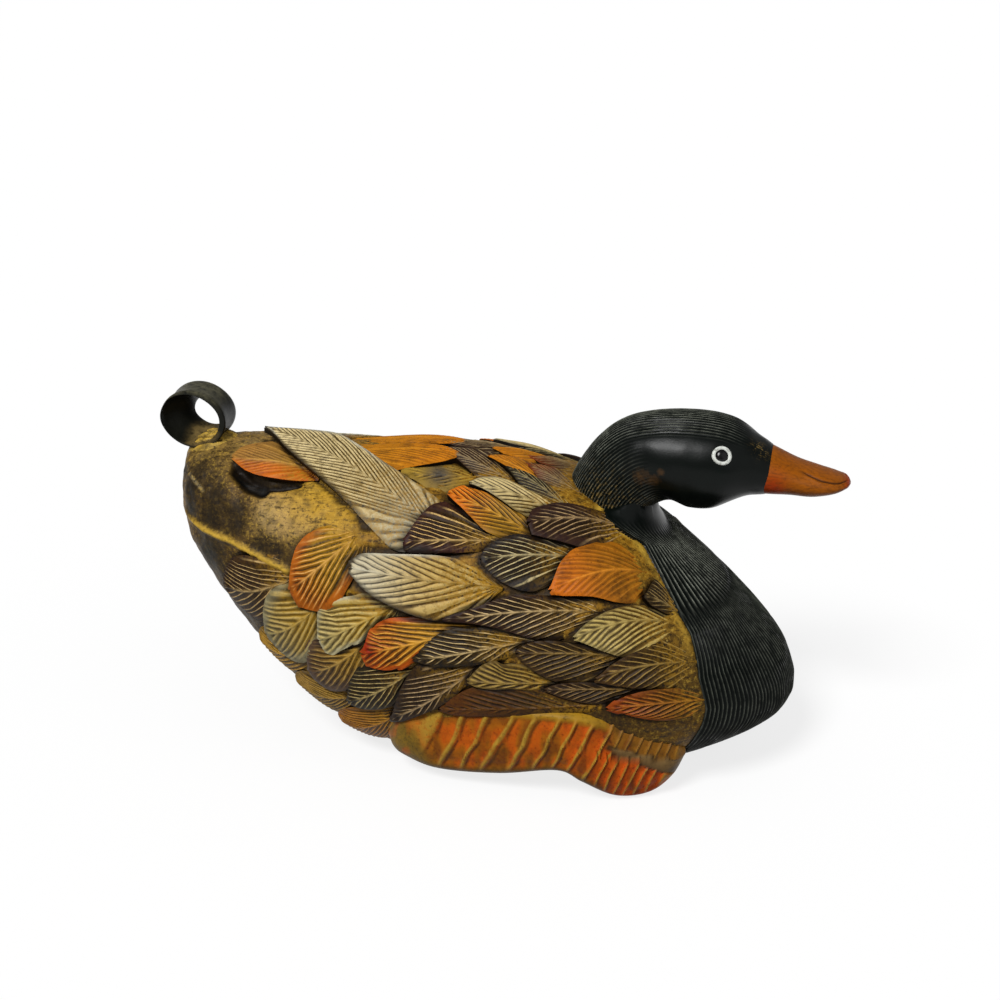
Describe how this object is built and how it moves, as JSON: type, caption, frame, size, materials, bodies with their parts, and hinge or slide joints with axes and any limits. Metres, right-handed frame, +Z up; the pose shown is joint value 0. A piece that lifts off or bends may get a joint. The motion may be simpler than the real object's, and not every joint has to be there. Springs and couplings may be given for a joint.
{
  "type": "duck decoy",
  "caption": "Carved and painted wooden drake on a flat base, with a hollow two-part body, dowelled head and bill, ringed eyes, laid-on legs, raised feathers and a rolled tail curl.",
  "frame": {"origin": "on the ground under the middle of the bird's box", "axes": "+X towards the bill, +Y to the bird's left, +Z up"},
  "size_m": [0.3018, 0.1454, 0.1571],
  "materials": {
    "feathered_wood": "carved, painted and dry-brushed with gold, satin",
    "black_wood": "black paint with combed lines, satin",
    "orange_wood": "orange paint rubbed with gold, satin",
    "silver_wood": "dark paint dry-brushed with cream, matt",
    "curl_wood": "dark paint worn to olive grey, satin",
    "dowel_wood": "bare beech",
    "eye_white": "white enamel",
    "eye_black": "black, glossy"
  },
  "bodies": {
    "root": {"body_upper": "feathered_wood", "body_lower": "feathered_wood", "body_dowel_rear": "dowel_wood", "body_dowel_front": "dowel_wood", "head": "black_wood", "neck_dowel": "dowel_wood", "bill": "orange_wood", "bill_dowel": "dowel_wood", "tail_curl": "curl_wood", "eye_ring_right": "eye_white", "eye_pupil_right": "eye_black", "leg_right": "orange_wood", "leg_peg_rear_right": "dowel_wood", "leg_peg_front_right": "dowel_wood", "eye_ring_left": "eye_white", "eye_pupil_left": "eye_black", "leg_left": "orange_wood", "leg_peg_rear_left": "dowel_wood", "leg_peg_front_left": "dowel_wood", "wing_primary_right": "silver_wood", "wing_primary_left": "silver_wood", "wing_tertial_right": "silver_wood", "wing_tertial_left": "silver_wood", "tail_feather_right": "orange_wood", "tail_feather_left": "orange_wood"}
  },
  "joints": []
}
